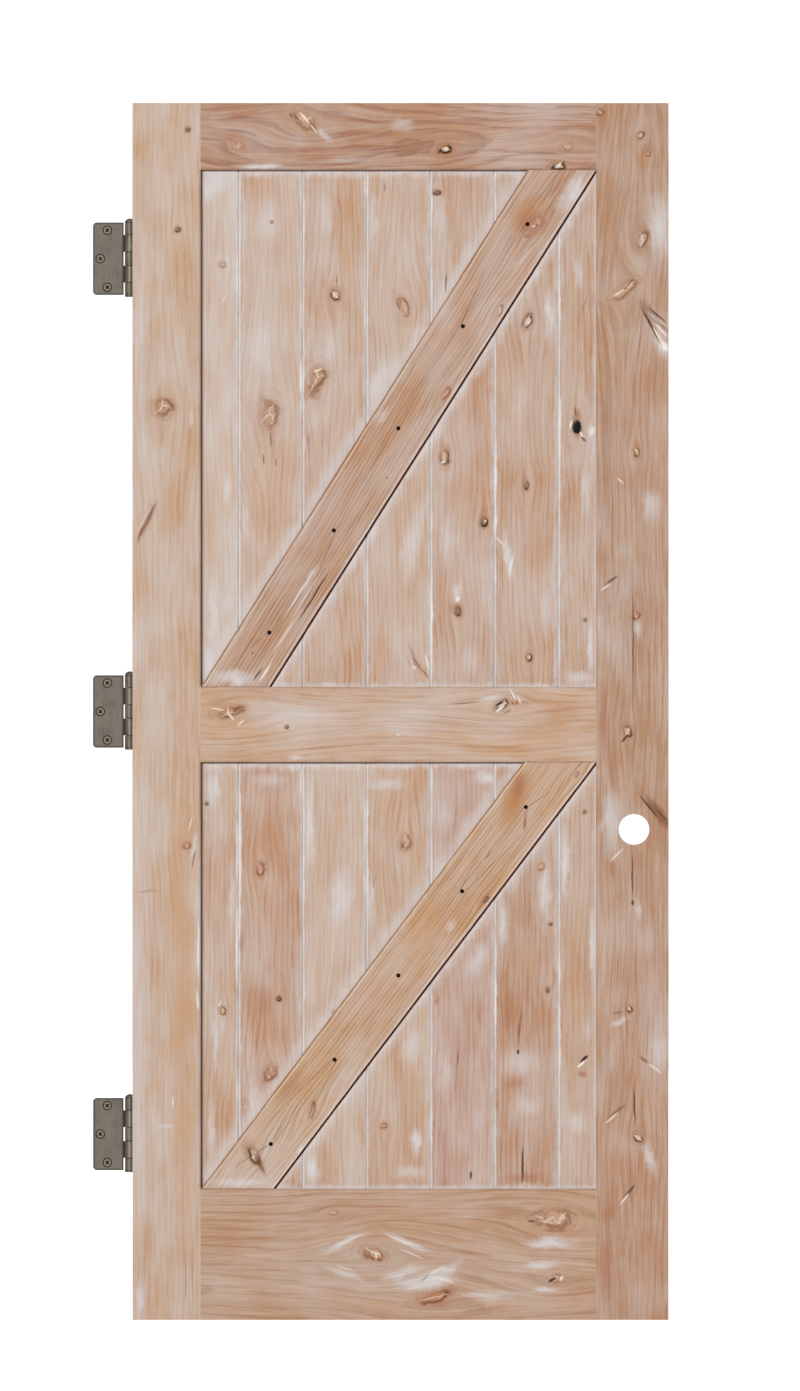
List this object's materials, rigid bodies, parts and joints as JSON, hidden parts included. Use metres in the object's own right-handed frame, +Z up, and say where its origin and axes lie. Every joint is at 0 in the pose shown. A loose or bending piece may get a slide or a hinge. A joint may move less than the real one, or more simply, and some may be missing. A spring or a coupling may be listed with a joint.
{
  "type": "braced plank door",
  "caption": "Single door leaf of framed vertical planks with diagonal braces, hung on butt hinges along one edge and bored for a lock on the other.",
  "frame": {"origin": "middle of the leaf's bottom edge", "axes": "+Z up, -Y out of the braced front face, -X towards the hinges"},
  "size_m": [1.0096, 0.1083, 2.1336],
  "materials": {
    "alder_frame": "sanded, whitewashed",
    "alder_plank": "sanded, whitewashed",
    "alder_brace": "sanded, whitewashed",
    "dowel_wood": "fluted beech, glued",
    "hinge_metal": "brushed, antique pewter plating",
    "hinge_screw": "antique pewter plating",
    "black_screw": "black oxide"
  },
  "bodies": {
    "jamb_leaves": {"top_hinge_jamb_leaf": "hinge_metal", "top_hinge_jamb_screws": "hinge_screw", "middle_hinge_jamb_leaf": "hinge_metal", "middle_hinge_jamb_screws": "hinge_screw", "bottom_hinge_jamb_leaf": "hinge_metal", "bottom_hinge_jamb_screws": "hinge_screw"},
    "door": {"hinge_stile": "alder_frame", "lock_stile": "alder_frame", "top_rail": "alder_frame", "lock_rail": "alder_frame", "bottom_rail": "alder_frame", "lower_plank_1": "alder_plank", "lower_plank_2": "alder_plank", "lower_plank_3": "alder_plank", "lower_plank_4": "alder_plank", "lower_plank_5": "alder_plank", "lower_plank_6": "alder_plank", "lower_plank_7": "alder_plank", "lower_brace": "alder_brace", "lower_brace_screws": "black_screw", "upper_plank_1": "alder_plank", "upper_plank_2": "alder_plank", "upper_plank_3": "alder_plank", "upper_plank_4": "alder_plank", "upper_plank_5": "alder_plank", "upper_plank_6": "alder_plank", "upper_plank_7": "alder_plank", "upper_brace": "alder_brace", "upper_brace_screws": "black_screw", "top_rail_dowels": "dowel_wood", "lock_rail_dowels": "dowel_wood", "bottom_rail_dowels": "dowel_wood", "top_hinge_door_leaf": "hinge_metal", "top_hinge_pin": "hinge_metal", "top_hinge_tip": "hinge_metal", "top_hinge_door_screws": "hinge_screw", "middle_hinge_door_leaf": "hinge_metal", "middle_hinge_pin": "hinge_metal", "middle_hinge_tip": "hinge_metal", "middle_hinge_door_screws": "hinge_screw", "bottom_hinge_door_leaf": "hinge_metal", "bottom_hinge_pin": "hinge_metal", "bottom_hinge_tip": "hinge_metal", "bottom_hinge_door_screws": "hinge_screw"}
  },
  "joints": [
    {"name": "door_swing", "type": "hinge", "parent": "jamb_leaves", "child": "door", "pos_m": [-0.47465, 0.04877, 1.0668], "axis": [0, 0, 1], "range_deg": [-90, 90]}
  ]
}
